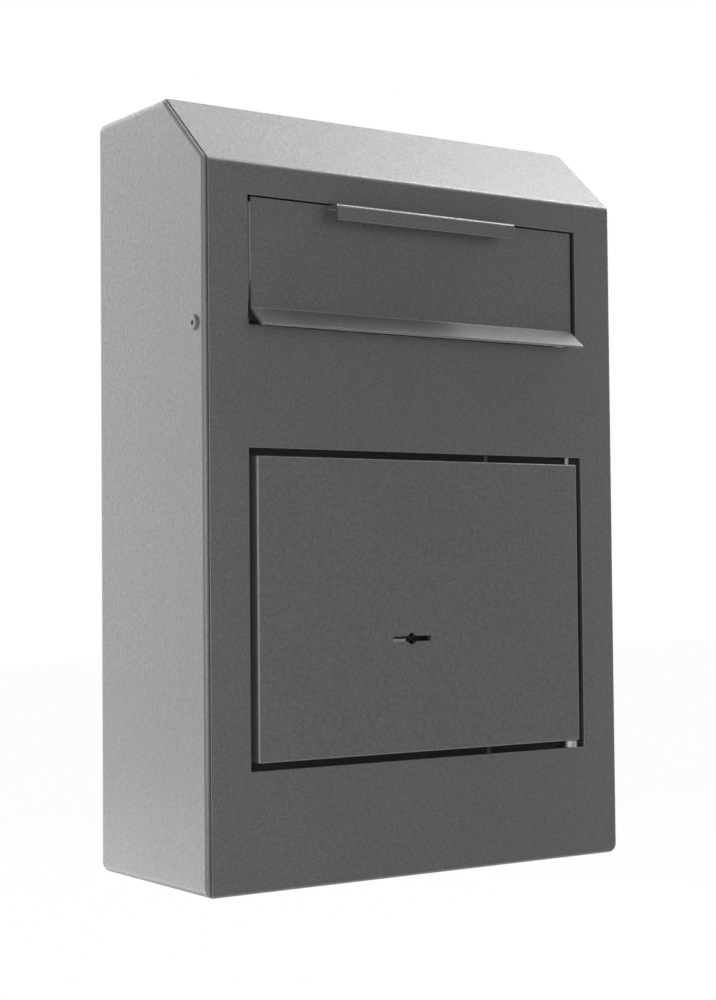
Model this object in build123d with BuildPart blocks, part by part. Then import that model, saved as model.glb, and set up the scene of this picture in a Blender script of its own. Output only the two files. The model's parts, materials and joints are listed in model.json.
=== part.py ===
from build123d import *
import os
from math import atan2, cos, hypot, pi, radians, sin, sqrt, tan

# Wall mounted mailbox, in millimetres. The origin is the centre of the wall face.
# X runs to the right of someone facing the box, Y from the box into the wall, Z up.

# Cabinet
BOX_WIDTH = 264.0
BOX_HEIGHT = 400.0
BOX_DEPTH = 114.5
SLOPE_DEPTH = 42.2
SLOPE_DROP = 38.0
SHEET = 2.0
SHELL_BEND = 5.0
FRONT_BEND = 4.5
EDGE_ROUND = 2.0
COAT_ROUND = 0.5
SEAM_WIDTH = 0.9
SEAM_DEPTH = 1.0
WRAP_DEPTH = 4.5
WALL_HOLE_DIA = 8.0
WALL_HOLE_SPAN_X = 160.0
WALL_HOLE_SPAN_Z = 130.0
WALL_HOLE_RISE = 75.0

# Mouth and drop flap
MOUTH_MARGIN = 25.7
MOUTH_HEIGHT = 65.0
MOUTH_DROP = 53.8
FLAP_SHEET = 1.5
FLAP_RECESS = 1.5
FLAP_SIDE_GAP = 1.0
FLAP_TOP_GAP = 0.8
FLAP_BEND = 2.5
CHEEK_NOTCH = 1.5
CHEEK_START = 24.0
CHEEK_TOP_MARGIN = 2.8
CHEEK_REAR_ANGLE = 152.0
CHEEK_FRONT_ANGLE = 56.0
CHEEK_HUB_ANGLE = 210.0
CHEEK_MARGIN = 2.0
PIVOT_SETBACK = 9.0
PIVOT_RISE = 0.2
HUB_CLEARANCE = 1.0
CREASE_RISE = 9.0
CREASE_BEND = 0.8
LIP_REACH = 9.5
LIP_DROP = 9.0
TAB_LENGTH = 115.0
TAB_REACH = 7.5
TAB_HEIGHT = 8.5
TAB_BEND = 2.2

# Deposit tray
TRAY_RISE = 11.3
TRAY_TURN_UP = 9.0
TRAY_FLAT = 7.3
TRAY_REACH = 55.3
TRAY_FALL = 25.5
TRAY_BENDS = (2.0, 4.0)
TRAY_FLANGE = 10.0
TRAY_FLANGE_START = 3.0
TRAY_FLANGE_SLANT = 8.0
RIVET_DIA = 3.2
RIVET_HEAD_DIA = 6.0
RIVET_HEAD = 1.1
RIVET_ROUND = 0.8
RIVET_SPAN = 22.0

# Flap pivot
ROD_DIA = 6.0
BUSH_DIA = 8.4
BUSH_FLANGE_DIA = 12.0
BUSH_FLANGE = 1.0
BUSH_INNER_REACH = 1.0
SPACER_DIA = 10.0
SCREW_DIA = 4.0
SCREW_LENGTH = 12.0
SCREW_HEAD_DIA = 7.6
SCREW_HEAD = 1.2
SCREW_HEAD_ROUND = 1.0
SCREW_SOCKET = 2.5
SCREW_SOCKET_DEPTH = 1.0
SCREW_HOLE_PLAY = 0.5
THREAD_DEPTH = 14.0

# Flap rest
REST_SETBACK = 39.3
REST_WIDTH = 16.0
REST_LEG = 18.0
REST_SHEET = 2.0
REST_DROP = 6.0
BUMPER_DIA = 10.0
BUMPER_SPAN = 120.0
BUMPER_ROUND = 1.5

# Anti-fishing baffle
BAFFLE_SHEET = 1.5
BAFFLE_DROP = 8.0
BAFFLE_FLANGE = 18.0
BAFFLE_REACH = 32.0
BAFFLE_FALL = 22.0
BAFFLE_MARGIN = 9.0
BAFFLE_BEND = 3.0
BAFFLE_TEETH = 20
TOOTH_DEPTH = 6.0
BAFFLE_RIVETS = 4
BAFFLE_RIVET_PITCH = 64.0

# Lock door
DOOR_LEFT_MARGIN = 25.7
DOOR_RIGHT_MARGIN = 23.3
DOOR_CUT_HEIGHT = 160.0
DOOR_CUT_RISE = 60.0
DOOR_GAP = 3.8
DOOR_PROUD = 1.0
DOOR_SHEET = 1.5
DOOR_FLANGE = 18.0
DOOR_EDGE = 1.2
HINGE_INSET = 3.1
HINGE_SETBACK = 4.5
PIN_DIA = 3.0
PIN_INSIDE = 9.0
PIN_OUTSIDE = 1.5
PIN_CHAMFER = 0.5
BRACKET_WIDTH = 18.0
BRACKET_SHEET = 2.5
BRACKET_LEG = 18.0
BRACKET_SHELF = 9.0
WASHER_DIA = 8.4
WASHERS = 2
STRIKE_SHEET = 1.5
STRIKE_CLEARANCE = 0.8
STRIKE_FOOT = 15.0
STRIKE_LAND = 10.0
STRIKE_MARGIN = 8.0

# Lock
KEY_FROM_LEFT = 93.8
KEY_RISE = 59.1
KEY_SLOT_LENGTH = 24.3
KEY_SLOT_HEIGHT = 2.8
KEY_EYE_DIA = 6.2
DRILL_PLATE_SHEET = 2.0
DRILL_PLATE_MARGIN = 3.0
WARD_HEIGHT = 1.3
CASE_LEFT = 30.0
CASE_RIGHT = 40.0
CASE_HALF_HEIGHT = 28.0
CASE_SHEET = 1.5
CASE_BEND = 2.0
DRUM_WALL = 1.2
DRUM_LENGTH = 8.2
DRUM_BACK = 1.5
CRANK_RADIUS = 6.0
CRANK_PIN_DIA = 4.0
LEVERS = 4
LEVER_SHEET = 1.0
LEVER_SPACE = 0.4
LEVER_LEFT = 18.0
LEVER_RIGHT = 36.5
LEVER_HALF_HEIGHT = 19.0
LEVER_LIFT = 1.2
LEVER_ROUND = 3.0
SPRING_SHEET = 0.4
SPRING_LEFT = 8.0
SPRING_RIGHT = 24.0
STUMP_SETOFF = 31.0
STUMP_DIA = 4.0
BOLT_SHEET = 3.5
BOLT_HEIGHT = 18.0
BOLT_YOKE_HEIGHT = 26.0
BOLT_TAIL = 3.5
BOLT_TIP_INSET = 0.5
BOLT_TIP_CHAMFER = 0.8
YOKE_PLAY = 1.46
YOKE_END_PLAY = 0.5
STUD_DIA = 4.0
STUD_INSET = 4.5
STUD_OVER = 1.5
NUT_WIDTH = 7.0
NUT_HEIGHT = 3.2

# Clearances
RUNNING = 0.05
SEAT = 0.3
SLIDE_FIT = 0.4
CUT_OVER = 1.0

half_width = BOX_WIDTH / 2
panel_half = half_width - SHEET
top_z = BOX_HEIGHT / 2
bottom_z = -BOX_HEIGHT / 2
front_y = -BOX_DEPTH
panel_back_y = front_y + SHEET
slope_angle = atan2(SLOPE_DROP, SLOPE_DEPTH)
slope_turn = pi / 2 - slope_angle

mouth_half = half_width - MOUTH_MARGIN
mouth_top = top_z - MOUTH_DROP
mouth_bottom = mouth_top - MOUTH_HEIGHT
pivot_y = front_y + PIVOT_SETBACK
pivot_z = mouth_bottom + PIVOT_RISE

door_cut_left = DOOR_LEFT_MARGIN - half_width
door_cut_right = half_width - DOOR_RIGHT_MARGIN
door_cut_width = door_cut_right - door_cut_left
door_x = (door_cut_left + door_cut_right) / 2
door_cut_bottom = bottom_z + DOOR_CUT_RISE
door_cut_top = door_cut_bottom + DOOR_CUT_HEIGHT
door_cut_z = (door_cut_bottom + door_cut_top) / 2
door_width = door_cut_width - 2 * DOOR_GAP
door_height = DOOR_CUT_HEIGHT - 2 * DOOR_GAP
door_left = door_x - door_width / 2
door_right = door_x + door_width / 2
door_bottom = door_cut_z - door_height / 2
door_top = door_cut_z + door_height / 2
door_face_y = front_y - DOOR_PROUD
door_back_y = door_face_y + DOOR_SHEET
door_rim_y = door_face_y + DOOR_FLANGE

# The flap is drawn across its pivot, with u towards the street and v up
flap_plane = Plane(origin=(0, pivot_y, pivot_z), x_dir=(0, -1, 0), z_dir=(-1, 0, 0))
flap_face = PIVOT_SETBACK - FLAP_RECESS
flap_back = flap_face - FLAP_SHEET
flap_top = mouth_top - FLAP_TOP_GAP - pivot_z
cheek_half = mouth_half - FLAP_SIDE_GAP
cheek_inner = cheek_half - FLAP_SHEET
hub_radius = PIVOT_SETBACK - SHEET - HUB_CLEARANCE
cheek_radius = flap_top - CHEEK_TOP_MARGIN + FLAP_SHEET / 2
tray_angle = atan2(TRAY_FALL, TRAY_REACH - TRAY_FLAT)
tray_end = (-TRAY_REACH, TRAY_RISE - TRAY_FALL)


def polar(radius, degrees_up):
    """Point at a radius and an angle from the pivot."""
    return (radius * cos(radians(degrees_up)), radius * sin(radians(degrees_up)))


def tray_underside(u):
    """Height of the tray's underside over the pivot, behind its flat front."""
    return TRAY_RISE + (u + TRAY_FLAT) * tan(tray_angle)


def side_outline(inset):
    """Side view of the cabinet, inset from its outer faces."""
    with BuildSketch(Plane.YZ) as outline:
        with BuildLine():
            Polyline(
                (0, bottom_z),
                (0, top_z),
                (front_y + SLOPE_DEPTH, top_z),
                (front_y, top_z - SLOPE_DROP),
                (front_y, bottom_z),
                close=True,
            )
        make_face()
        if inset:
            offset(amount=-inset, kind=Kind.INTERSECTION)
    return outline.sketch


def front_strip(outer, inner, at_x=0):
    """Side view of the folded front, between two depths below its outer face."""

    def fold_line(depth):
        fold_z = top_z - SLOPE_DROP - depth * tan(slope_turn / 2)
        ridge_y = front_y + SLOPE_DEPTH + depth / sin(slope_angle)
        return [(front_y + depth, bottom_z), (front_y + depth, fold_z), (ridge_y, top_z)]

    with BuildSketch(Plane.YZ.offset(at_x)) as strip:
        with BuildLine():
            Polyline(*fold_line(outer), *reversed(fold_line(inner)), close=True)
        make_face()
    return strip.sketch


def folded_section(plane, points, bends, thickness, end_round=0):
    """Section of a folded sheet, on the right of the line through the points, with its last end eased."""
    with BuildSketch(plane) as section:
        with BuildLine():
            FilletPolyline(*points, radius=bends)
            offset(amount=thickness, side=Side.RIGHT)
        make_face()
        if end_round:
            fillet(section.vertices().sort_by_distance(points[-1])[:2], end_round)
    return section.sketch


# Cabinet block with its bends, shared by the shell and the front panel
with BuildPart() as outer_block:
    extrude(to_extrude=side_outline(0), amount=half_width, both=True)
    wall_edges = outer_block.faces().sort_by(Axis.Y)[-1].edges()
    flank_edges = outer_block.edges().filter_by(Axis.Y)
    fillet(wall_edges + flank_edges, SHELL_BEND)
    fold_edges = outer_block.edges().filter_by(Axis.X).filter_by_position(
        Axis.Z, top_z - SLOPE_DROP - EDGE_ROUND, top_z - SLOPE_DROP + EDGE_ROUND)
    fillet(fold_edges, FRONT_BEND)
    rim_edges = outer_block.faces().sort_by(Axis.Y)[0].edges().filter_by(Axis.Z)
    fillet(rim_edges, EDGE_ROUND)

with BuildPart() as hollow_block:
    extrude(to_extrude=side_outline(SHEET), amount=panel_half, both=True)
    hollow_back = hollow_block.faces().sort_by(Axis.Y)[-1].edges()
    hollow_flanks = hollow_block.edges().filter_by(Axis.Y)
    fillet(hollow_back + hollow_flanks, SHELL_BEND - SHEET)

# Space of the front panel: the folded front and its turn round the right edge
with BuildPart() as panel_space:
    turn_start = half_width - SHELL_BEND
    extrude(to_extrude=front_strip(-CUT_OVER, SHEET, -panel_half), amount=panel_half + half_width + CUT_OVER)
    extrude(to_extrude=front_strip(-CUT_OVER, WRAP_DEPTH, turn_start), amount=SHELL_BEND + CUT_OVER)

# Shell: back, sides, top and bottom
with BuildPart() as cabinet_shell:
    add(outer_block.part)
    add(hollow_block.part, mode=Mode.SUBTRACT)
    add(panel_space.part, mode=Mode.SUBTRACT)
    with BuildSketch(Plane.XZ.offset(-CUT_OVER)):
        with Locations((0, bottom_z + WALL_HOLE_RISE + WALL_HOLE_SPAN_Z / 2)):
            with GridLocations(WALL_HOLE_SPAN_X, WALL_HOLE_SPAN_Z, 2, 2):
                Circle(WALL_HOLE_DIA / 2)
    extrude(amount=SHEET + 2 * CUT_OVER, mode=Mode.SUBTRACT)
    with BuildSketch(flap_plane):
        Circle((SCREW_DIA + SCREW_HOLE_PLAY) / 2)
    extrude(amount=half_width + CUT_OVER, both=True, mode=Mode.SUBTRACT)
cabinet_shell.part.label = "cabinet_shell"

# Front panel, turned round the right edge, with a narrow seam groove beside the left wall
with BuildPart() as front_panel:
    add(outer_block.part)
    add(hollow_block.part, mode=Mode.SUBTRACT)
    add(panel_space.part, mode=Mode.INTERSECT)
    extrude(to_extrude=front_strip(-CUT_OVER, SEAM_DEPTH, -panel_half), amount=SEAM_WIDTH, mode=Mode.SUBTRACT)
    seam_side = front_panel.faces().filter_by(Axis.Y).sort_by(Axis.Y)[0].edges().filter_by(Axis.Z)
    fillet(seam_side.sort_by(Axis.X)[0], COAT_ROUND)
    with BuildSketch(Plane.XZ.offset(BOX_DEPTH + CUT_OVER)):
        with Locations((0, (mouth_top + mouth_bottom) / 2)):
            Rectangle(2 * mouth_half, MOUTH_HEIGHT)
        with Locations((door_x, door_cut_z)):
            Rectangle(door_cut_width, DOOR_CUT_HEIGHT)
    extrude(amount=-SHEET - 2 * CUT_OVER, mode=Mode.SUBTRACT)
    front_face = front_panel.faces().filter_by(Axis.Y).sort_by(Axis.Y)[0]
    fillet([edge for cut_out in front_face.inner_wires() for edge in cut_out.edges()], COAT_ROUND)
front_panel.part.label = "front_panel"

# Drop flap: plate, cheeks, drip lip and pull tab
plate_half = cheek_half - CHEEK_NOTCH
lip_tip = (PIVOT_SETBACK + LIP_REACH, CREASE_RISE - PIVOT_RISE - LIP_DROP)
tray_rivet_spots = [
    (
        -TRAY_FLAT - along * cos(tray_angle) - TRAY_FLANGE / 2 * sin(tray_angle),
        TRAY_RISE - along * sin(tray_angle) + TRAY_FLANGE / 2 * cos(tray_angle),
    )
    for along in (TRAY_FLANGE, TRAY_FLANGE + RIVET_SPAN)
]

with BuildPart() as drop_flap:
    with BuildSketch(flap_plane):
        with BuildLine():
            cheek_ridge = (flap_face, sqrt(cheek_radius**2 - flap_face**2))
            cheek_rear = polar(cheek_radius, CHEEK_REAR_ANGLE)
            cheek_neck = -TRAY_FLAT - TRAY_FLANGE_START
            Polyline(
                cheek_rear,
                (tray_end[0] - CHEEK_MARGIN, tray_end[1] - CHEEK_MARGIN),
                (cheek_neck, tray_underside(cheek_neck) - CHEEK_MARGIN),
                polar(hub_radius, CHEEK_HUB_ANGLE),
                polar(hub_radius, CHEEK_FRONT_ANGLE),
                (flap_face, CHEEK_START),
                cheek_ridge,
            )
            RadiusArc(cheek_ridge, cheek_rear, -cheek_radius)
        make_face()
        Circle(hub_radius)
    extrude(amount=cheek_half, both=True)
    bend_edges = drop_flap.faces().sort_by(Axis.Y)[0].edges().filter_by(Axis.Z)
    fillet(bend_edges, FLAP_BEND)
    with BuildSketch(flap_plane):
        with Locations((flap_back, 0)):
            Rectangle(BOX_DEPTH, BOX_HEIGHT, align=(Align.MAX, Align.CENTER))
    extrude(amount=cheek_inner, both=True, mode=Mode.SUBTRACT)
    plate_line = [(flap_face, flap_top), (flap_face, CREASE_RISE - PIVOT_RISE), lip_tip]
    plate_section = folded_section(flap_plane, plate_line, CREASE_BEND, FLAP_SHEET, COAT_ROUND)
    extrude(to_extrude=plate_section, amount=plate_half, both=True)
    tab_front = PIVOT_SETBACK + TAB_REACH
    tab_line = [
        (flap_back, flap_top - TAB_HEIGHT),
        (flap_back, flap_top),
        (tab_front, flap_top),
        (tab_front, flap_top - TAB_HEIGHT),
    ]
    tab_section = folded_section(flap_plane, tab_line, TAB_BEND, FLAP_SHEET, COAT_ROUND)
    extrude(to_extrude=tab_section, amount=TAB_LENGTH / 2, both=True)
    with BuildSketch(flap_plane):
        Circle(BUSH_DIA / 2 + RUNNING)
        with Locations(*tray_rivet_spots):
            Circle(RIVET_DIA / 2 + RUNNING)
    extrude(amount=cheek_half + CUT_OVER, both=True, mode=Mode.SUBTRACT)
drop_flap.part.label = "drop_flap"

# Deposit tray between the cheeks
with BuildPart() as deposit_tray:
    tray_line = [
        (flap_back, TRAY_RISE + TRAY_TURN_UP),
        (flap_back, TRAY_RISE),
        (-TRAY_FLAT, TRAY_RISE),
        tray_end,
    ]
    extrude(
        to_extrude=folded_section(flap_plane, tray_line, TRAY_BENDS, FLAP_SHEET),
        amount=cheek_inner,
        both=True,
    )
    rise_u = -TRAY_FLANGE * sin(tray_angle)
    rise_v = TRAY_FLANGE * cos(tray_angle)
    flange_start = -TRAY_FLAT - TRAY_FLANGE_START
    with BuildSketch(flap_plane.offset(cheek_inner - FLAP_SHEET)):
        with BuildLine():
            Polyline(
                (flange_start, tray_underside(flange_start)),
                tray_end,
                (
                    tray_end[0] + rise_u + TRAY_FLANGE_SLANT * cos(tray_angle),
                    tray_end[1] + rise_v + TRAY_FLANGE_SLANT * sin(tray_angle),
                ),
                (flange_start + rise_u, tray_underside(flange_start) + rise_v),
                close=True,
            )
        make_face()
    flange = extrude(amount=FLAP_SHEET)
    mirror(flange, about=Plane.YZ)
    with BuildSketch(flap_plane):
        with Locations(*tray_rivet_spots):
            Circle(RIVET_DIA / 2 + RUNNING)
    extrude(amount=cheek_half, both=True, mode=Mode.SUBTRACT)
deposit_tray.part.label = "deposit_tray"

with BuildPart() as tray_rivets:
    with BuildSketch(flap_plane.offset(cheek_inner - FLAP_SHEET)):
        with Locations(*tray_rivet_spots):
            Circle(RIVET_DIA / 2)
    extrude(amount=2 * FLAP_SHEET)
    for head_plane, away in (
        (flap_plane.offset(cheek_half), RIVET_HEAD),
        (flap_plane.offset(cheek_inner - FLAP_SHEET), -RIVET_HEAD),
    ):
        with BuildSketch(head_plane):
            with Locations(*tray_rivet_spots):
                Circle(RIVET_HEAD_DIA / 2)
        extrude(amount=away)
    fillet(tray_rivets.faces().sort_by(Axis.X)[0].edges(), RIVET_ROUND)
    mirror(about=Plane.YZ)
tray_rivets.part.label = "tray_rivets"

# Flap pivot: rod, bushes, spacers and screws
with BuildPart() as pivot_bushes:
    with BuildSketch(flap_plane.offset(cheek_inner - BUSH_INNER_REACH)):
        Circle(BUSH_DIA / 2)
        Circle(ROD_DIA / 2 + RUNNING, mode=Mode.SUBTRACT)
    extrude(amount=FLAP_SHEET + BUSH_INNER_REACH)
    with BuildSketch(flap_plane.offset(cheek_half)):
        Circle(BUSH_FLANGE_DIA / 2)
        Circle(ROD_DIA / 2 + RUNNING, mode=Mode.SUBTRACT)
    extrude(amount=BUSH_FLANGE)
    mirror(about=Plane.YZ)
pivot_bushes.part.label = "pivot_bushes"

with BuildPart() as flap_pivot_rod:
    with BuildSketch(flap_plane):
        Circle(ROD_DIA / 2)
    extrude(amount=panel_half, both=True)
    with BuildSketch(flap_plane.offset(panel_half)):
        Circle(SCREW_DIA / 2 + RUNNING)
    thread_hole = extrude(amount=-THREAD_DEPTH, mode=Mode.SUBTRACT)
    mirror(thread_hole, about=Plane.YZ, mode=Mode.SUBTRACT)
flap_pivot_rod.part.label = "flap_pivot_rod"

with BuildPart() as pivot_spacers:
    spacer_start = cheek_half + BUSH_FLANGE + SEAT
    with BuildSketch(flap_plane.offset(spacer_start)):
        Circle(SPACER_DIA / 2)
        Circle(ROD_DIA / 2 + RUNNING, mode=Mode.SUBTRACT)
    extrude(amount=panel_half - spacer_start)
    mirror(about=Plane.YZ)
pivot_spacers.part.label = "pivot_spacers"

with BuildPart() as pivot_screws:
    with BuildSketch(flap_plane.offset(half_width)):
        Circle(SCREW_HEAD_DIA / 2)
    extrude(amount=SCREW_HEAD)
    fillet(pivot_screws.faces().sort_by(Axis.X)[0].edges(), SCREW_HEAD_ROUND)
    with BuildSketch(flap_plane.offset(half_width)):
        Circle(SCREW_DIA / 2)
    extrude(amount=-SCREW_LENGTH)
    with BuildSketch(flap_plane.offset(half_width + SCREW_HEAD)):
        RegularPolygon(SCREW_SOCKET / 2, 6, major_radius=False)
    extrude(amount=-SCREW_SOCKET_DEPTH, mode=Mode.SUBTRACT)
    mirror(about=Plane.YZ)
pivot_screws.part.label = "pivot_screws"

# Cross angle and rubber buttons under the closed tray
rest_front = -REST_SETBACK + REST_WIDTH / 2
rest_rear = -REST_SETBACK - REST_WIDTH / 2
rest_top = tray_underside(rest_rear) - REST_DROP
bumper_top = tray_underside(-REST_SETBACK - BUMPER_DIA / 2) - SEAT

with BuildPart() as flap_rest_angle:
    with BuildSketch(flap_plane):
        with BuildLine():
            Polyline(
                (rest_front, rest_top),
                (rest_rear, rest_top),
                (rest_rear, rest_top - REST_SHEET),
                (rest_front - REST_SHEET, rest_top - REST_SHEET),
                (rest_front - REST_SHEET, rest_top - REST_LEG),
                (rest_front, rest_top - REST_LEG),
                close=True,
            )
        make_face()
    extrude(amount=panel_half, both=True)
flap_rest_angle.part.label = "flap_rest_angle"

with BuildPart() as flap_bumpers:
    with BuildSketch(Plane.XY.offset(pivot_z + rest_top)):
        with Locations((0, pivot_y + REST_SETBACK)):
            with GridLocations(BUMPER_SPAN, BUMPER_SPAN, 2, 1):
                Circle(BUMPER_DIA / 2)
    extrude(amount=bumper_top - rest_top)
    fillet(flap_bumpers.faces().sort_by(Axis.Z)[-2:].edges(), BUMPER_ROUND)
flap_bumpers.part.label = "flap_bumpers"

# Toothed baffle on the back wall, below the tray's end
baffle_plane = Plane(origin=(0, -SHEET, pivot_z - BAFFLE_DROP), x_dir=(0, -1, 0), z_dir=(-1, 0, 0))
baffle_tilt = atan2(BAFFLE_FALL, BAFFLE_REACH)
baffle_length = hypot(BAFFLE_FALL, BAFFLE_REACH)
baffle_top_plane = Plane(
    origin=(0, -SHEET, pivot_z - BAFFLE_DROP - BAFFLE_FLANGE),
    x_dir=(1, 0, 0),
    z_dir=(0, -sin(baffle_tilt), cos(baffle_tilt)),
)
baffle_rivet_z = pivot_z - BAFFLE_DROP - BAFFLE_FLANGE / 2
baffle_half = panel_half - BAFFLE_MARGIN

with BuildPart() as anti_fish_baffle:
    baffle_line = [
        (BAFFLE_REACH, -BAFFLE_FLANGE - BAFFLE_FALL),
        (0, -BAFFLE_FLANGE),
        (0, 0),
    ]
    baffle_section = folded_section(baffle_plane, baffle_line, BAFFLE_BEND, BAFFLE_SHEET)
    extrude(to_extrude=baffle_section, amount=baffle_half, both=True)
    tooth_pitch = 2 * baffle_half / BAFFLE_TEETH
    with BuildSketch(baffle_top_plane):
        with Locations((0, -baffle_length)):
            with GridLocations(tooth_pitch, tooth_pitch, BAFFLE_TEETH - 1, 1):
                Triangle(c=tooth_pitch, a=hypot(tooth_pitch / 2, TOOTH_DEPTH),
                         b=hypot(tooth_pitch / 2, TOOTH_DEPTH), align=(Align.CENTER, Align.MIN))
    extrude(amount=BAFFLE_SHEET + CUT_OVER, both=True, mode=Mode.SUBTRACT)
    with BuildSketch(Plane.XZ.offset(SHEET)):
        with Locations((0, baffle_rivet_z)):
            with GridLocations(BAFFLE_RIVET_PITCH, BAFFLE_RIVET_PITCH, BAFFLE_RIVETS, 1):
                Circle(RIVET_DIA / 2 + RUNNING)
    extrude(amount=BAFFLE_SHEET + CUT_OVER, mode=Mode.SUBTRACT)
anti_fish_baffle.part.label = "anti_fish_baffle"

with BuildPart() as baffle_rivets:
    with BuildSketch(Plane.XZ.offset(SHEET)):
        with Locations((0, baffle_rivet_z)):
            with GridLocations(BAFFLE_RIVET_PITCH, BAFFLE_RIVET_PITCH, BAFFLE_RIVETS, 1):
                Circle(RIVET_DIA / 2)
    extrude(amount=BAFFLE_SHEET)
    with BuildSketch(Plane.XZ.offset(SHEET + BAFFLE_SHEET)):
        with Locations((0, baffle_rivet_z)):
            with GridLocations(BAFFLE_RIVET_PITCH, BAFFLE_RIVET_PITCH, BAFFLE_RIVETS, 1):
                Circle(RIVET_HEAD_DIA / 2)
    extrude(amount=RIVET_HEAD)
    fillet(baffle_rivets.faces().group_by(Axis.Y)[0].edges(), RIVET_ROUND)
baffle_rivets.part.label = "baffle_rivets"

# Lock and key places
key_x = door_left + KEY_FROM_LEFT
key_z = door_bottom + KEY_RISE
drill_back_y = door_back_y + DRILL_PLATE_SHEET
case_floor_y = drill_back_y + CASE_SHEET
drum_front_y = drill_back_y + SEAT
drum_back_y = drum_front_y + DRUM_LENGTH
bolt_front_y = drum_back_y + SEAT
bolt_back_y = bolt_front_y + BOLT_SHEET
cover_front_y = bolt_back_y + SLIDE_FIT
cover_back_y = cover_front_y + CASE_SHEET
drum_dia = KEY_SLOT_LENGTH + 2 * DRUM_WALL
stud_spots = [
    (key_x + side_x, key_z + side_z)
    for side_x in (STUD_INSET - CASE_LEFT, CASE_RIGHT - STUD_INSET)
    for side_z in (STUD_INSET - CASE_HALF_HEIGHT, CASE_HALF_HEIGHT - STUD_INSET)
]
case_x = key_x + (CASE_RIGHT - CASE_LEFT) / 2
case_width = CASE_LEFT + CASE_RIGHT
case_height = 2 * CASE_HALF_HEIGHT
bolt_throw = 2 * CRANK_RADIUS
lock_plane = Plane(origin=(key_x, 0, key_z), x_dir=(1, 0, 0), z_dir=(0, -1, 0))


def facing_street(y):
    """Plane square to the street at a depth, drawn in the cabinet's X and Z."""
    return Plane.XZ.offset(-y)


def facing_key(y):
    """Plane square to the street at a depth, drawn about the keyhole."""
    return lock_plane.offset(-y)


def keyhole(y, play):
    """Keyhole outline at a depth: a slot with a round eye, opened by a play all round."""
    with BuildSketch(facing_key(y)) as hole:
        Rectangle(KEY_SLOT_LENGTH + 2 * play, KEY_SLOT_HEIGHT + 2 * play)
        Circle(KEY_EYE_DIA / 2 + play)
    return hole.sketch


# Lock door: folded tray with the keyhole and the bolt's slot
hinge_x = door_right - HINGE_INSET
hinge_y = front_y + HINGE_SETBACK
bolt_mid_y = (bolt_front_y + bolt_back_y) / 2
bolt_slot_depth = BOLT_SHEET + 2 * SLIDE_FIT
bolt_slot_height = BOLT_HEIGHT + 2 * SLIDE_FIT

with BuildPart() as lock_door:
    with BuildSketch(facing_street(door_rim_y)):
        with Locations((door_x, door_cut_z)):
            Rectangle(door_width, door_height)
    extrude(amount=DOOR_FLANGE)
    fillet(lock_door.edges().filter_by(Axis.Y), DOOR_EDGE)
    fillet(lock_door.faces().sort_by(Axis.Y)[0].edges(), DOOR_EDGE)
    with BuildSketch(facing_street(door_rim_y + CUT_OVER)):
        with Locations((door_x, door_cut_z)):
            Rectangle(door_width - 2 * DOOR_SHEET, door_height - 2 * DOOR_SHEET)
    extrude(amount=DOOR_FLANGE - DOOR_SHEET + CUT_OVER, mode=Mode.SUBTRACT)
    key_cut = keyhole(door_back_y + CUT_OVER, 0)
    extrude(to_extrude=key_cut, amount=DOOR_SHEET + 2 * CUT_OVER, mode=Mode.SUBTRACT)
    with BuildSketch(Plane.YZ.offset(door_left - CUT_OVER)):
        with Locations((bolt_mid_y, key_z)):
            Rectangle(bolt_slot_depth, bolt_slot_height)
    extrude(amount=DOOR_SHEET + 2 * CUT_OVER, mode=Mode.SUBTRACT)
    with BuildSketch(Plane.XY.offset(door_bottom - CUT_OVER)):
        with Locations((hinge_x, hinge_y)):
            Circle(PIN_DIA / 2 + RUNNING)
    extrude(amount=door_height + 2 * CUT_OVER, mode=Mode.SUBTRACT)
lock_door.part.label = "lock_door"

# Hinge pins, brackets and washers
with BuildPart() as hinge_pins:
    for start_z, end_z in (
        (door_top - PIN_INSIDE, door_cut_top + BRACKET_SHEET + PIN_OUTSIDE),
        (door_cut_bottom - BRACKET_SHEET - PIN_OUTSIDE, door_bottom + PIN_INSIDE),
    ):
        with BuildSketch(Plane.XY.offset(start_z)):
            with Locations((hinge_x, hinge_y)):
                Circle(PIN_DIA / 2)
        extrude(amount=end_z - start_z)
    chamfer(hinge_pins.edges().filter_by(GeomType.CIRCLE), PIN_CHAMFER)
hinge_pins.part.label = "hinge_pins"


def bracket_section(shelf_z, upward):
    """Section of a hinge angle: a shelf level with the cut-out and a leg on the panel's back."""
    shelf_end = hinge_y + BRACKET_SHELF
    with BuildSketch(Plane.YZ.offset(hinge_x - BRACKET_WIDTH / 2)) as section:
        with BuildLine():
            Polyline(
                (panel_back_y, shelf_z),
                (shelf_end, shelf_z),
                (shelf_end, shelf_z + upward * BRACKET_SHEET),
                (panel_back_y + BRACKET_SHEET, shelf_z + upward * BRACKET_SHEET),
                (panel_back_y + BRACKET_SHEET, shelf_z + upward * BRACKET_LEG),
                (panel_back_y, shelf_z + upward * BRACKET_LEG),
                close=True,
            )
        make_face()
    return section.sketch


def hinge_hole():
    """Round hole for a hinge pin, drawn level with the floor."""
    with BuildSketch(Plane.XY.offset(bottom_z)) as hole:
        with Locations((hinge_x, hinge_y)):
            Circle(PIN_DIA / 2 + RUNNING)
    return hole.sketch


with BuildPart() as hinge_bracket_upper:
    extrude(to_extrude=bracket_section(door_cut_top, 1), amount=BRACKET_WIDTH, dir=(1, 0, 0))
    extrude(to_extrude=hinge_hole(), amount=BOX_HEIGHT, mode=Mode.SUBTRACT)
hinge_bracket_upper.part.label = "hinge_bracket_upper"

with BuildPart() as hinge_bracket_lower:
    extrude(to_extrude=bracket_section(door_cut_bottom, -1), amount=BRACKET_WIDTH, dir=(1, 0, 0))
    extrude(to_extrude=hinge_hole(), amount=BOX_HEIGHT, mode=Mode.SUBTRACT)
hinge_bracket_lower.part.label = "hinge_bracket_lower"

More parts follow.
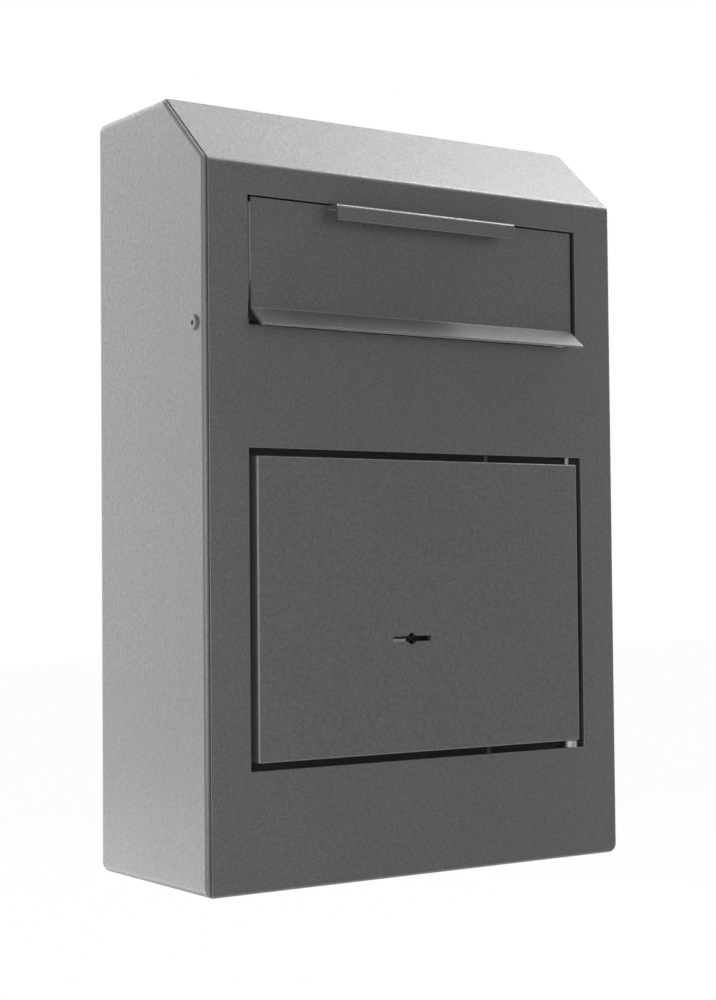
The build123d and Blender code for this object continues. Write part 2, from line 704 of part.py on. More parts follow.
with BuildPart() as hinge_washers:
    washer_pitch = (DOOR_GAP - SEAT) / WASHERS
    for index in range(WASHERS):
        with BuildSketch(Plane.XY.offset(door_cut_bottom + index * washer_pitch)):
            with Locations((hinge_x, hinge_y)):
                Circle(WASHER_DIA / 2)
                Circle(PIN_DIA / 2 + RUNNING, mode=Mode.SUBTRACT)
        extrude(amount=washer_pitch - RUNNING)
hinge_washers.part.label = "hinge_washers"

# Strike behind the left jamb: the bolt enters its web and the door's rim rests on its land
strike_right = door_cut_left - STRIKE_CLEARANCE
strike_land_y = door_rim_y + SEAT
strike_height = DOOR_CUT_HEIGHT - 2 * STRIKE_MARGIN

with BuildPart() as jamb_strike:
    with BuildSketch(Plane.XY.offset(door_cut_bottom + STRIKE_MARGIN)):
        with BuildLine():
            Polyline(
                (strike_right - STRIKE_FOOT, panel_back_y),
                (strike_right, panel_back_y),
                (strike_right, strike_land_y),
                (strike_right + STRIKE_LAND, strike_land_y),
                (strike_right + STRIKE_LAND, strike_land_y + STRIKE_SHEET),
                (strike_right - STRIKE_SHEET, strike_land_y + STRIKE_SHEET),
                (strike_right - STRIKE_SHEET, panel_back_y + STRIKE_SHEET),
                (strike_right - STRIKE_FOOT, panel_back_y + STRIKE_SHEET),
                close=True,
            )
        make_face()
    extrude(amount=strike_height)
    with BuildSketch(Plane.YZ.offset(strike_right - STRIKE_SHEET - CUT_OVER)):
        with Locations((bolt_mid_y, key_z)):
            Rectangle(bolt_slot_depth, bolt_slot_height)
    extrude(amount=STRIKE_SHEET + 2 * CUT_OVER, mode=Mode.SUBTRACT)
jamb_strike.part.label = "jamb_strike"

# Lock housing
with BuildPart() as drill_plate:
    with BuildSketch(facing_street(drill_back_y)):
        with Locations((case_x, key_z)):
            Rectangle(case_width + 2 * DRILL_PLATE_MARGIN, case_height + 2 * DRILL_PLATE_MARGIN)
        with Locations(*stud_spots):
            Circle(STUD_DIA / 2 + RUNNING, mode=Mode.SUBTRACT)
    extrude(amount=DRILL_PLATE_SHEET)
    extrude(to_extrude=keyhole(drill_back_y + CUT_OVER, SEAT), amount=DRILL_PLATE_SHEET + 2 * CUT_OVER,
            mode=Mode.SUBTRACT)
    with BuildSketch(facing_key(drill_back_y)):
        with Locations((-KEY_SLOT_LENGTH / 2 - SEAT, -KEY_SLOT_HEIGHT / 2 - SEAT)):
            Rectangle((KEY_SLOT_LENGTH - KEY_EYE_DIA) / 2, WARD_HEIGHT + SEAT, align=(Align.MIN, Align.MIN))
    extrude(amount=DRILL_PLATE_SHEET)
drill_plate.part.label = "drill_plate"

with BuildPart() as lock_case:
    with BuildSketch(facing_street(cover_front_y)):
        with Locations((case_x, key_z)):
            Rectangle(case_width, case_height)
    extrude(amount=cover_front_y - drill_back_y)
    fillet(lock_case.edges().filter_by(Axis.Y), CASE_BEND)
    with BuildSketch(facing_street(cover_front_y + CUT_OVER)):
        with Locations((case_x, key_z)):
            Rectangle(case_width - 2 * CASE_SHEET, case_height - 2 * CASE_SHEET)
    extrude(amount=cover_front_y - case_floor_y + CUT_OVER, mode=Mode.SUBTRACT)
    with BuildSketch(facing_street(case_floor_y + CUT_OVER)):
        with Locations((key_x, key_z)):
            Circle(drum_dia / 2 + RUNNING)
        with Locations(*stud_spots):
            Circle(STUD_DIA / 2 + RUNNING)
    extrude(amount=CASE_SHEET + 2 * CUT_OVER, mode=Mode.SUBTRACT)
    with BuildSketch(Plane.YZ.offset(key_x - CASE_LEFT - CUT_OVER)):
        with Locations((bolt_mid_y, key_z)):
            Rectangle(bolt_slot_depth, bolt_slot_height)
    extrude(amount=CASE_SHEET + 2 * CUT_OVER, mode=Mode.SUBTRACT)
lock_case.part.label = "lock_case"

with BuildPart() as lock_cover:
    with BuildSketch(facing_street(cover_back_y)):
        with Locations((case_x, key_z)):
            RectangleRounded(case_width, case_height, CASE_BEND)
        with Locations(*stud_spots):
            Circle(STUD_DIA / 2 + RUNNING, mode=Mode.SUBTRACT)
    extrude(amount=CASE_SHEET)
lock_cover.part.label = "lock_cover"

with BuildPart() as lock_studs:
    with BuildSketch(facing_street(door_back_y)):
        with Locations(*stud_spots):
            Circle(STUD_DIA / 2)
    extrude(amount=door_back_y - cover_back_y - NUT_HEIGHT - STUD_OVER)
    chamfer(lock_studs.faces().group_by(Axis.Y)[-1].edges(), PIN_CHAMFER)
lock_studs.part.label = "lock_studs"

with BuildPart() as lock_nuts:
    with BuildSketch(facing_street(cover_back_y)):
        with Locations(*stud_spots):
            RegularPolygon(NUT_WIDTH / 2, 6, major_radius=False)
        with Locations(*stud_spots):
            Circle(STUD_DIA / 2 + RUNNING, mode=Mode.SUBTRACT)
    extrude(amount=-NUT_HEIGHT)
lock_nuts.part.label = "lock_nuts"

# Key drum with its crank pin, shown unlocked
with BuildPart() as key_rotor:
    with BuildSketch(facing_key(drum_front_y)):
        Circle(drum_dia / 2)
    extrude(amount=-DRUM_LENGTH)
    extrude(to_extrude=keyhole(drum_front_y, 0), amount=DRUM_BACK - DRUM_LENGTH, mode=Mode.SUBTRACT)
    with BuildSketch(facing_key(drum_back_y)):
        with Locations((CRANK_RADIUS, 0)):
            Circle(CRANK_PIN_DIA / 2)
    extrude(amount=drum_back_y - bolt_back_y)
key_rotor.part.label = "key_rotor"

# Bolt: yoke over the crank pin, stump for the levers and a bar to the door's rim
with BuildPart() as lock_bolt:
    bolt_tip_x = door_left + BOLT_TIP_INSET - key_x
    bolt_end_x = STUMP_SETOFF + BOLT_TAIL
    yoke_left = -CASE_LEFT + CASE_SHEET + bolt_throw + SEAT
    with BuildSketch(facing_key(bolt_back_y)):
        with Locations((bolt_tip_x, 0)):
            Rectangle(bolt_end_x - bolt_tip_x, BOLT_HEIGHT, align=(Align.MIN, Align.CENTER))
        with Locations((yoke_left, 0)):
            Rectangle(bolt_end_x - yoke_left, BOLT_YOKE_HEIGHT, align=(Align.MIN, Align.CENTER))
        with Locations((CRANK_RADIUS, 0)):
            SlotOverall(
                2 * CRANK_RADIUS + CRANK_PIN_DIA + 2 * (YOKE_PLAY + YOKE_END_PLAY),
                CRANK_PIN_DIA + 2 * YOKE_PLAY,
                rotation=90,
                mode=Mode.SUBTRACT,
            )
    extrude(amount=BOLT_SHEET)
    chamfer(lock_bolt.faces().sort_by(Axis.X)[0].edges(), BOLT_TIP_CHAMFER)
    with BuildSketch(facing_key(bolt_front_y)):
        with Locations((STUMP_SETOFF, 0)):
            Circle(STUMP_DIA / 2)
    extrude(amount=bolt_front_y - case_floor_y - SEAT)
lock_bolt.part.label = "lock_bolt"

# Lever pack round the drum, and one leaf spring above each lever
lever_pitch = LEVER_SHEET + LEVER_SPACE
lever_backs = [case_floor_y + SEAT + LEVER_SHEET + index * lever_pitch for index in range(LEVERS)]

with BuildPart() as lock_levers:
    for lever_back in lever_backs:
        with BuildSketch(facing_key(lever_back)) as lever:
            with Locations((-LEVER_LEFT, 0)):
                Rectangle(LEVER_LEFT + LEVER_RIGHT, 2 * LEVER_HALF_HEIGHT, align=(Align.MIN, Align.CENTER))
            fillet(lever.vertices(), LEVER_ROUND)
            with Locations((0, -LEVER_LIFT / 2)):
                SlotCenterToCenter(LEVER_LIFT, drum_dia + 2 * SEAT, rotation=90, mode=Mode.SUBTRACT)
            with Locations((STUMP_SETOFF - bolt_throw / 2, -LEVER_LIFT / 2)):
                Rectangle(
                    bolt_throw + STUMP_DIA + 2 * SEAT,
                    STUMP_DIA + LEVER_LIFT + 2 * SEAT,
                    mode=Mode.SUBTRACT,
                )
        extrude(amount=LEVER_SHEET)
lock_levers.part.label = "lock_levers"

with BuildPart() as lever_springs:
    for lever_back in lever_backs:
        spring_low = LEVER_HALF_HEIGHT + SEAT / 2 + SPRING_SHEET / 2
        spring_high = CASE_HALF_HEIGHT - CASE_SHEET - SEAT / 2 - SPRING_SHEET / 2
        with BuildSketch(facing_key(lever_back)):
            with BuildLine():
                ThreePointArc(
                    (-SPRING_LEFT, spring_high),
                    ((SPRING_RIGHT - SPRING_LEFT) / 2, spring_low),
                    (SPRING_RIGHT, spring_high),
                )
                offset(amount=SPRING_SHEET / 2)
            make_face()
        extrude(amount=LEVER_SHEET)
lever_springs.part.label = "lever_springs"

os.makedirs("parts", exist_ok=True)
for piece in (
    cabinet_shell,
    front_panel,
    hinge_bracket_upper,
    hinge_bracket_lower,
    hinge_washers,
    jamb_strike,
    flap_pivot_rod,
    pivot_screws,
    pivot_spacers,
    flap_rest_angle,
    flap_bumpers,
    anti_fish_baffle,
    baffle_rivets,
    drop_flap,
    deposit_tray,
    tray_rivets,
    pivot_bushes,
    lock_door,
    hinge_pins,
    drill_plate,
    lock_case,
    lock_cover,
    lock_studs,
    lock_nuts,
    key_rotor,
    lock_bolt,
    lock_levers,
    lever_springs,
):
    export_step(piece.part, f"parts/{piece.part.label}.step")
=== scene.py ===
import json
import math

import bpy
from mathutils import Matrix, Vector

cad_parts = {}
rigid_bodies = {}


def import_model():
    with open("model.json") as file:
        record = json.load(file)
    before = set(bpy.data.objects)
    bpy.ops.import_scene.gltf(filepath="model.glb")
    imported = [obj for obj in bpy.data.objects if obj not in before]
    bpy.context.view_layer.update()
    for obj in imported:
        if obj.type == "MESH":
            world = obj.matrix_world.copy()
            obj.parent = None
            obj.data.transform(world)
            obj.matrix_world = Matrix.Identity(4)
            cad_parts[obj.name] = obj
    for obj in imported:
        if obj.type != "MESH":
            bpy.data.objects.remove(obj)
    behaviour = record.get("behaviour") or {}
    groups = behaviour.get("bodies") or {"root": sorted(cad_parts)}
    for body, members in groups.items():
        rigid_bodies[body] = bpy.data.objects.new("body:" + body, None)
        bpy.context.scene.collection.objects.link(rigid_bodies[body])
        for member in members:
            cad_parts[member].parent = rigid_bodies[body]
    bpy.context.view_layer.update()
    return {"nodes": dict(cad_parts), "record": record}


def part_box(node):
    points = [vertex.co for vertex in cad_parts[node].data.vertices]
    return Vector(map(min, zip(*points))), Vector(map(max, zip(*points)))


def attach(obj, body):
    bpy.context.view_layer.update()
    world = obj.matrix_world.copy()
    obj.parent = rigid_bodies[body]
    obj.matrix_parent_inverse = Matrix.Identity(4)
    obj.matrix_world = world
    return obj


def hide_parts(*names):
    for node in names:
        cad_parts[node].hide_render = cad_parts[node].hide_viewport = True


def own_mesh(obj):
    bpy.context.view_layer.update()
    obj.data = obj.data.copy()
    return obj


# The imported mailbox, in metres: front towards -Y, wall face at Y = 0, up is +Z
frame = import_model()
nodes = frame["nodes"]


# Building blocks of the finishes, with every length in metres


def bare_tree(owner, output_kind):
    """Clears a material or a world and gives its node tree and its new output's surface socket."""
    owner.use_nodes = True
    tree = owner.node_tree
    tree.nodes.clear()
    output = tree.nodes.new(output_kind)
    return tree, output.inputs["Surface"]


def blank_finish(name):
    """A new material with its node tree, its shader and the piece's own coordinates."""
    finish = bpy.data.materials.new(name)
    tree, surface = bare_tree(finish, "ShaderNodeOutputMaterial")
    shader = tree.nodes.new("ShaderNodeBsdfPrincipled")
    place = tree.nodes.new("ShaderNodeTexCoord")
    tree.links.new(shader.outputs["BSDF"], surface)
    return finish, tree, shader, place.outputs["Object"]


def feed(tree, socket, content):
    """Links an output to a socket, or sets the socket to a number or a colour."""
    if isinstance(content, bpy.types.NodeSocket):
        tree.links.new(content, socket)
    elif isinstance(content, tuple):
        socket.default_value = (*content, 1.0)
    else:
        socket.default_value = content


def calculate(tree, operation, first, second):
    """One step of arithmetic with two values, each an output or a number."""
    step = tree.nodes.new("ShaderNodeMath")
    step.operation = operation
    feed(tree, step.inputs[0], first)
    feed(tree, step.inputs[1], second)
    return step.outputs["Value"]


def times(tree, first, second):
    """Product of two values."""
    return calculate(tree, "MULTIPLY", first, second)


def largest(tree, values):
    """Greatest of several values."""
    top = values[0]
    for value in values[1:]:
        top = calculate(tree, "MAXIMUM", top, value)
    return top


def spread(tree, value, low, high, start=0.3, end=0.7):
    """Maps a value from start to end, by default the middle of a noise, to low to high."""
    mapped = tree.nodes.new("ShaderNodeMapRange")
    mapped.inputs["From Min"].default_value = start
    mapped.inputs["From Max"].default_value = end
    mapped.inputs["To Min"].default_value = low
    mapped.inputs["To Max"].default_value = high
    tree.links.new(value, mapped.inputs["Value"])
    return mapped.outputs["Result"]


def grain(tree, place, size, detail=2.0, rough=0.5, stretch=None):
    """Noise with blotches of about the given size, drawn out along the axes with a small stretch."""
    if stretch:
        mapping = tree.nodes.new("ShaderNodeMapping")
        mapping.inputs["Scale"].default_value = stretch
        tree.links.new(place, mapping.inputs["Vector"])
        place = mapping.outputs["Vector"]
    noise = tree.nodes.new("ShaderNodeTexNoise")
    noise.inputs["Scale"].default_value = 1.0 / size
    noise.inputs["Detail"].default_value = detail
    noise.inputs["Roughness"].default_value = rough
    tree.links.new(place, noise.inputs["Vector"])
    return noise.outputs["Fac"]


def tint(tree, value, stops):
    """Colour ramp from a value, through (position, colour) stops."""
    ramp = tree.nodes.new("ShaderNodeValToRGB")
    while len(ramp.color_ramp.elements) < len(stops):
        ramp.color_ramp.elements.new(position=0.5)
    for element, (position, colour) in zip(ramp.color_ramp.elements, stops):
        element.position = position
        element.color = (*colour, 1.0)
    tree.links.new(value, ramp.inputs["Fac"])
    return ramp.outputs["Color"]


def blend_colour(tree, share, first, second, mode="MIX"):
    """Mixes two colours, the second one by a share. Each is an output or a fixed value."""
    mix = tree.nodes.new("ShaderNodeMix")
    mix.data_type = "RGBA"
    mix.blend_type = mode
    # The node lists its colour sockets after those for numbers and vectors
    factor, one, two, result = mix.inputs[0], mix.inputs[6], mix.inputs[7], mix.outputs[2]
    for socket, content in ((factor, share), (one, first), (two, second)):
        feed(tree, socket, content)
    return result


def edge_mask(tree, width):
    """1 on the piece's edges and corners, 0 on its flats, over the given width."""
    rounded = tree.nodes.new("ShaderNodeBevel")
    rounded.samples = 6
    rounded.inputs["Radius"].default_value = width
    surface = tree.nodes.new("ShaderNodeNewGeometry")
    agreement = tree.nodes.new("ShaderNodeVectorMath")
    agreement.operation = "DOT_PRODUCT"
    tree.links.new(rounded.outputs["Normal"], agreement.inputs[0])
    tree.links.new(surface.outputs["Normal"], agreement.inputs[1])
    return spread(tree, agreement.outputs["Value"], low=1.0, high=0.0, start=0.82, end=0.985)


def fold_highlight_mask(tree):
    """Where the painted highlight goes: 1 on the curve of a fold, 0 on faces square to the axes and on
    the slope and the drip lip.
    """
    # Midway between the directions that the slope and the lip face
    slope_facing = (0.0, -0.68, 0.733)
    surface = tree.nodes.new("ShaderNodeNewGeometry")
    facing = tree.nodes.new("ShaderNodeVectorTransform")
    facing.vector_type = "NORMAL"
    facing.convert_from = "WORLD"
    facing.convert_to = "OBJECT"
    tree.links.new(surface.outputs["Normal"], facing.inputs["Vector"])
    shares = tree.nodes.new("ShaderNodeVectorMath")
    shares.operation = "ABSOLUTE"
    tree.links.new(facing.outputs["Vector"], shares.inputs[0])
    axes = tree.nodes.new("ShaderNodeSeparateXYZ")
    tree.links.new(shares.outputs["Vector"], axes.inputs["Vector"])
    squareness = largest(tree, [axes.outputs[axis] for axis in ("X", "Y", "Z")])
    sloped = tree.nodes.new("ShaderNodeVectorMath")
    sloped.operation = "DOT_PRODUCT"
    sloped.inputs[1].default_value = slope_facing
    tree.links.new(facing.outputs["Vector"], sloped.inputs[0])
    off_slope = spread(tree, sloped.outputs["Value"], low=1.0, high=0.0, start=0.985, end=0.995)
    off_square = spread(tree, squareness, low=1.0, high=0.0, start=0.86, end=0.985)
    return times(tree, off_square, off_slope)


def relief(tree, shader, layers):
    """Stacks bumps, given as (height output, depth), coarse first."""
    normal = None
    for height, depth in layers:
        bump = tree.nodes.new("ShaderNodeBump")
        bump.inputs["Strength"].default_value = 1.0
        bump.inputs["Distance"].default_value = depth
        tree.links.new(height, bump.inputs["Height"])
        if normal is not None:
            tree.links.new(normal, bump.inputs["Normal"])
        normal = bump.outputs["Normal"]
    tree.links.new(normal, shader.inputs["Normal"])


# Finishes


def powder_coat(name, greys, peel, fold_highlight=0.0):
    """Fine textured powder coat: grey flecks, slow drift, orange peel, worn edges and a painted
    highlight on bends, by the given share.
    """
    dark, mid, light, rubbed_and_highlight = greys
    fleck_size, drift_size, sheen_size, dust_size = 0.0014, 0.045, 0.0024, 0.00055
    edge_width, wear_size, least_wear, most_wear = 0.0009, 0.006, 0.05, 0.40
    smoothest, roughest, dust_share = 0.34, 0.44, 0.25
    drift_shade, full_shade = (0.93, 0.93, 0.93), (1.0, 1.0, 1.0)
    finish, tree, shader, place = blank_finish(name)
    fleck = grain(tree, place, fleck_size, detail=3.0, rough=0.62)
    drift = grain(tree, place, drift_size, detail=3.0)
    colour = tint(tree, fleck, [(0.30, dark), (0.50, mid), (0.72, light)])
    shade = tint(tree, drift, [(0.30, drift_shade), (0.70, full_shade)])
    colour = blend_colour(tree, 1.0, colour, shade, "MULTIPLY")
    wear = spread(tree, grain(tree, place, wear_size), least_wear, most_wear)
    colour = blend_colour(tree, times(tree, edge_mask(tree, edge_width), wear), colour, rubbed_and_highlight)
    # Bends painted paler: a painted highlight where they would catch the light
    if fold_highlight:
        colour = blend_colour(tree, times(tree, fold_highlight_mask(tree), fold_highlight), colour, rubbed_and_highlight)
    tree.links.new(colour, shader.inputs["Base Color"])
    sheen = spread(tree, grain(tree, place, sheen_size), smoothest, roughest)
    tree.links.new(sheen, shader.inputs["Roughness"])
    shader.inputs["Specular IOR Level"].default_value = 0.5
    pebble = grain(tree, place, fleck_size, detail=2.0)
    dust = grain(tree, place, dust_size, detail=1.0)
    relief(tree, shader, [(pebble, peel), (dust, peel * dust_share)])
    return finish


def bright_metal(name, dark, light, rough, lines, depth):
    """Plated or turned metal: fine drawn lines, cloudy tone and brighter edges."""
    cloud_size, line_size, edge_width, edge_share = 0.004, 0.0006, 0.0004, 0.5
    smoother, rougher = 0.06, 0.08
    finish, tree, shader, place = blank_finish(name)
    cloud = grain(tree, place, cloud_size, detail=4.0)
    drawn = grain(tree, place, line_size, detail=2.0, stretch=lines)
    colour = tint(tree, cloud, [(0.30, dark), (0.70, light)])
    colour = blend_colour(tree, times(tree, edge_mask(tree, edge_width), edge_share), colour, light)
    tree.links.new(colour, shader.inputs["Base Color"])
    shader.inputs["Metallic"].default_value = 1.0
    tree.links.new(spread(tree, drawn, rough - smoother, rough + rougher), shader.inputs["Roughness"])
    relief(tree, shader, [(drawn, depth)])
    return finish


def moulded(name, dark, light, rough, pore, depth):
    """Rubber or nylon: a faint mould texture and paler scuffed edges."""
    edge_width, edge_share, rough_play = 0.0005, 0.4, 0.06
    finish, tree, shader, place = blank_finish(name)
    speck = grain(tree, place, pore, detail=3.0)
    colour = tint(tree, speck, [(0.35, dark), (0.70, light)])
    colour = blend_colour(tree, times(tree, edge_mask(tree, edge_width), edge_share), colour, light)
    tree.links.new(colour, shader.inputs["Base Color"])
    sheen = spread(tree, speck, rough - rough_play, rough + rough_play)
    tree.links.new(sheen, shader.inputs["Roughness"])
    relief(tree, shader, [(speck, depth)])
    return finish


# Dark, middle and light flecks, and the paler grey of worn edges, also painted on the outer coat's bends
# as a highlight
coat_greys = (
    (0.078, 0.076, 0.083), (0.100, 0.098, 0.106), (0.132, 0.130, 0.137), (0.210, 0.208, 0.214))
screw_greys = (
    (0.085, 0.085, 0.088), (0.105, 0.105, 0.108), (0.130, 0.130, 0.132), (0.240, 0.240, 0.240))
# The outer coat's share of painted highlight on its bends
coat_peel, screw_peel, fold_highlight_share = 0.00014, 0.00003, 0.7
outer_coat = powder_coat("anthracite_outer_coat", coat_greys, coat_peel, fold_highlight_share)
inner_coat = powder_coat("anthracite_inner_coat", coat_greys, coat_peel)
screw_paint = powder_coat("screw_paint", screw_greys, screw_peel)

# Metals, with lines drawn out along the axes that have a small number
drawn_depth, strip_depth = 0.00001, 0.000006
zinc = bright_metal(
    "zinc_plate", dark=(0.58, 0.57, 0.54), light=(0.76, 0.75, 0.72),
    rough=0.30, lines=(1.0, 1.0, 0.15), depth=drawn_depth)
# Darker zinc: painted shade for the hinge pins and washers seen in the door's narrow gaps; the drill
# plate takes it too
gap_shade_zinc = bright_metal(
    "gap_shade_zinc_plate", dark=(0.20, 0.20, 0.19), light=(0.33, 0.32, 0.31),
    rough=0.48, lines=(1.0, 1.0, 0.15), depth=drawn_depth)
bolt_steel = bright_metal(
    "hardened_bolt", dark=(0.30, 0.29, 0.28), light=(0.46, 0.45, 0.44),
    rough=0.36, lines=(0.08, 1.0, 1.0), depth=drawn_depth)
# Near-black steel for the key drum: painted shade, so that the keyhole reads dark inside
keyhole_shade_black = bright_metal(
    "keyhole_shade_steel", dark=(0.030, 0.030, 0.031), light=(0.070, 0.069, 0.068),
    rough=0.42, lines=(1.0, 0.1, 1.0), depth=drawn_depth)
spring_strip = bright_metal(
    "spring_strip", dark=(0.26, 0.28, 0.33), light=(0.42, 0.44, 0.48),
    rough=0.30, lines=(0.1, 1.0, 1.0), depth=strip_depth)
lock_brass = bright_metal(
    "lock_brass", dark=(0.62, 0.43, 0.17), light=(0.80, 0.60, 0.28),
    rough=0.30, lines=(0.2, 1.0, 0.2), depth=drawn_depth)
buffer_rubber = moulded(
    "buffer_rubber", dark=(0.012, 0.012, 0.012), light=(0.035, 0.035, 0.035),
    rough=0.78, pore=0.0009, depth=0.00005)
bush_nylon = moulded(
    "bush_nylon", dark=(0.014, 0.014, 0.015), light=(0.040, 0.040, 0.041),
    rough=0.46, pore=0.0012, depth=0.00002)

slot_finishes = {
    "powder_coat": inner_coat,
    "screw_steel": screw_paint,
    "zinc_steel": zinc,
    "hard_steel": bolt_steel,
    "spring_steel": spring_strip,
    "brass": lock_brass,
    "rubber": buffer_rubber,
    "black_nylon": bush_nylon,
}
for part in frame["record"]["subparts"]:
    piece = nodes[part["node"]]
    piece.data.materials.clear()
    piece.data.materials.append(slot_finishes[part["material_slot"]])

# Pieces that look different from the rest of their slot
own_finishes = (
    (outer_coat, ("cabinet_shell", "front_panel", "lock_door", "drop_flap")),
    # Key drum painted near-black as the keyhole's shade
    (keyhole_shade_black, ("key_rotor",)),
    # Hinge pins and washers darkened as painted shade in the door's gaps
    (gap_shade_zinc, ("hinge_washers", "hinge_pins", "drill_plate")),
)
for finish, names in own_finishes:
    for name in names:
        nodes[name].data.materials[0] = finish


# Leaf springs over the lock's levers, which in the lock flatten as the levers lift; here they keep their
# bow


def leaf_spring(left, right, roof, belly, back, width, thickness):
    """Bowed strip under the case's roof, its belly over a lever, swept along its arc from one end."""
    half, sag = (right - left) / 2.0, roof - belly
    radius = (half * half + sag * sag) / (2.0 * sag)
    swing = math.asin(half / radius)
    depth = back - width / 2.0
    bpy.ops.object.select_all(action="DESELECT")
    bpy.ops.mesh.primitive_plane_add(
        size=1.0, location=(left, depth, roof), rotation=(0.0, math.pi / 2.0 + swing, 0.0))
    strip = bpy.context.object
    strip.scale = (thickness, width, 1.0)
    bpy.ops.object.transform_apply(location=True, rotation=True, scale=True)
    bpy.ops.object.mode_set(mode="EDIT")
    bpy.ops.mesh.select_all(action="SELECT")
    bpy.ops.mesh.spin(
        steps=28, angle=2.0 * swing, center=(left + half, depth, belly + radius), axis=(0.0, 1.0, 0.0))
    bpy.ops.mesh.select_all(action="SELECT")
    bpy.ops.mesh.normals_make_consistent(inside=False)
    bpy.ops.object.mode_set(mode="OBJECT")
    return strip


spring_low, spring_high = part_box("lever_springs")
spring_sheet, lever_sheet, lever_pitch, lever_lift = 0.0004, 0.0010, 0.0014, 0.0012
lever_count, roof_gap = 4, 0.00015
first_spring = leaf_spring(
    left=spring_low.x + spring_sheet / 2.0,
    right=spring_high.x - spring_sheet / 2.0,
    roof=spring_high.z - spring_sheet / 2.0,
    belly=spring_low.z + spring_sheet / 2.0,
    back=spring_high.y, width=lever_sheet, thickness=spring_sheet)
first_spring.name = "leaf_springs"
for index in range(1, lever_count):
    bpy.ops.object.select_all(action="DESELECT")
    first_spring.select_set(True)
    bpy.context.view_layer.objects.active = first_spring
    bpy.ops.object.duplicate()
    bpy.ops.transform.translate(value=(0.0, -index * lever_pitch, 0.0))
    bpy.ops.object.transform_apply(location=True, rotation=True, scale=True)
bpy.ops.object.select_pattern(pattern="leaf_springs*", extend=False)
bpy.context.view_layer.objects.active = first_spring
bpy.ops.object.join()
bpy.ops.object.select_all(action="DESELECT")
first_spring.data.materials.append(spring_strip)
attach(first_spring, "lock_door")
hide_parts("lever_springs")
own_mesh(first_spring)


# Stage


def sees_background(tree):
    """1 for rays that show the background: straight from the camera, or by a reflection or glass."""
    path = tree.nodes.new("ShaderNodeLightPath")
    kinds = ("Is Camera Ray", "Is Glossy Ray", "Is Transmission Ray")
    return largest(tree, [path.outputs[kind] for kind in kinds])


def plain_floor(height, size, grey, white_share):
    """Pale floor below the hung box: nearly white as a background, plain grey to bounced light."""
    bpy.ops.mesh.primitive_plane_add(size=size, location=(0, 0, height))
    floor = bpy.context.object
    floor.name = "pale_floor"
    paint = bpy.data.materials.new("pale_floor_paint")
    tree, surface = bare_tree(paint, "ShaderNodeOutputMaterial")
    matt = tree.nodes.new("ShaderNodeBsdfDiffuse")
    matt.inputs["Color"].default_value = (grey, grey, grey, 1.0)
    white = tree.nodes.new("ShaderNodeEmission")
    mix = tree.nodes.new("ShaderNodeMixShader")
    tree.links.new(times(tree, sees_background(tree), white_share), mix.inputs["Fac"])
    tree.links.new(matt.outputs["BSDF"], mix.inputs[1])
    tree.links.new(white.outputs["Emission"], mix.inputs[2])
    tree.links.new(mix.outputs["Shader"], surface)
    floor.data.materials.append(paint)


def studio_world(ambient):
    """White as a background and in reflections, and a faint even light on everything."""
    world = bpy.data.worlds.new("studio_world")
    bpy.context.scene.world = world
    tree, surface = bare_tree(world, "ShaderNodeOutputWorld")
    light = tree.nodes.new("ShaderNodeBackground")
    light.inputs["Color"].default_value = (1.0, 1.0, 1.0, 1.0)
    level = spread(tree, sees_background(tree), low=ambient, high=1.0, start=0.0, end=1.0)
    tree.links.new(level, light.inputs["Strength"])
    tree.links.new(light.outputs["Background"], surface)


def softbox(name, place, target, width, height, watts, tone):
    """Rectangular studio light that faces a point and isn't seen itself by the camera."""
    lamp = bpy.data.lights.new(name, "AREA")
    lamp.color = tone
    lamp.shape = "RECTANGLE"
    lamp.size = width
    lamp.size_y = height
    lamp.energy = watts
    box = bpy.data.objects.new(name, lamp)
    bpy.context.scene.collection.objects.link(box)
    aim = Vector(target) - Vector(place)
    box.matrix_world = Matrix.Translation(place) @ aim.to_track_quat("-Z", "Y").to_matrix().to_4x4()
    box.visible_camera = False


plain_floor(height=-0.45, size=14.0, grey=0.82, white_share=0.975)
studio_world(ambient=0.04)
white_tone = (1.0, 1.0, 1.0)
paper_tone = (0.985, 1.0, 0.945)
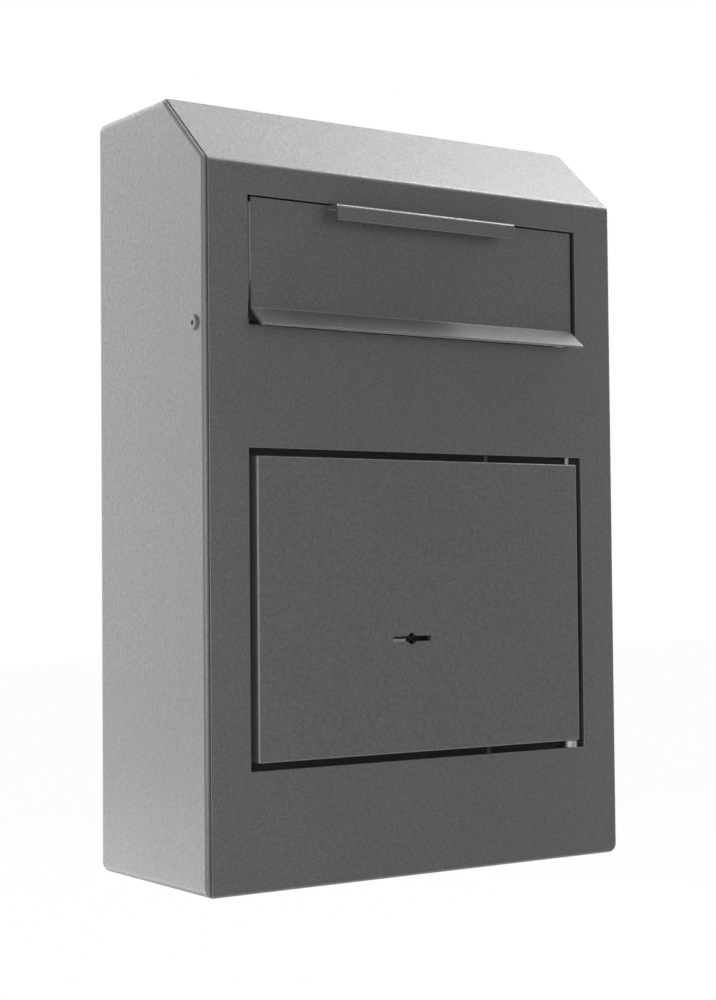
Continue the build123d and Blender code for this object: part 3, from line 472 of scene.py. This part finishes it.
# Each light's name, place, target, width, height, watts and tone
lights = (
    ("backdrop_light", (0.0, 1.60, 0.20), (0.0, 0.0, 0.0), 3.0, 1.2, 12.1, paper_tone),
    ("backdrop_top", (-0.05, 1.30, 0.95), (-0.10, -0.05, 0.10), 1.2, 0.7, 5.7, paper_tone),
    ("left_softbox", (-0.75, 1.35, -0.10), (-0.13, -0.05, -0.05), 1.0, 1.2, 5.6, paper_tone),
    ("left_upper_softbox", (-0.90, 0.95, 0.80), (-0.13, -0.05, 0.10), 0.9, 0.7, 5.9, paper_tone),
    ("floor_bounce", (-0.35, 0.25, -0.43), (-0.13, -0.05, -0.10), 0.5, 0.5, 2.5, paper_tone),
    ("top_softbox", (0.30, 0.30, 1.35), (0.0, -0.05, 0.10), 1.0, 0.9, 6.5, white_tone),
    ("top_right_softbox", (0.85, 0.30, 1.20), (0.0, -0.05, 0.10), 0.9, 0.9, 2.9, white_tone),
    ("slope_softbox", (0.90, -0.15, 1.20), (0.05, -0.10, 0.10), 0.5, 0.5, 12.5, white_tone),
    ("left_near_strip", (-0.36, -0.34, 0.0), (-0.10, -0.11, 0.0), 0.08, 0.7, 0.16, white_tone),
    ("left_strip", (-0.27, -0.17, 0.0), (-0.12, -0.11, 0.0), 0.05, 0.6, 0.11, white_tone),
    ("right_strip", (0.24, -0.16, 0.0), (0.12, -0.11, 0.0), 0.04, 0.5, 0.08, white_tone),
    ("camera_fill", (-0.60, -0.935, -0.04), (0.0, -0.11, 0.0), 0.06, 0.06, 3.0, white_tone),
    ("right_side_softbox", (1.30, 0.70, 0.10), (0.13, -0.05, 0.0), 0.8, 1.0, 6.0, white_tone),
)
for light in lights:
    softbox(*light)


# Camera at the photograph's place, with its sensor and lens in millimetres

camera = bpy.data.cameras.new("photo_camera")
camera.sensor_width = 36.0
camera.lens = 69.71
viewer = bpy.data.objects.new("photo_camera", camera)
bpy.context.scene.collection.objects.link(viewer)
camera_place = Vector((-0.60015, -0.93539, -0.04086))
right = Vector((0.82690333, -0.56227367, -0.00889976))
up = Vector((-0.01280501, -0.03464895, 0.99931751))
forward = Vector((0.56219829, 0.82622501, 0.03585125))
attitude = Matrix((right, up, -forward)).transposed().to_4x4()
viewer.matrix_world = Matrix.Translation(camera_place) @ attitude
bpy.context.scene.camera = viewer
bpy.context.scene.view_settings.view_transform = "Standard"
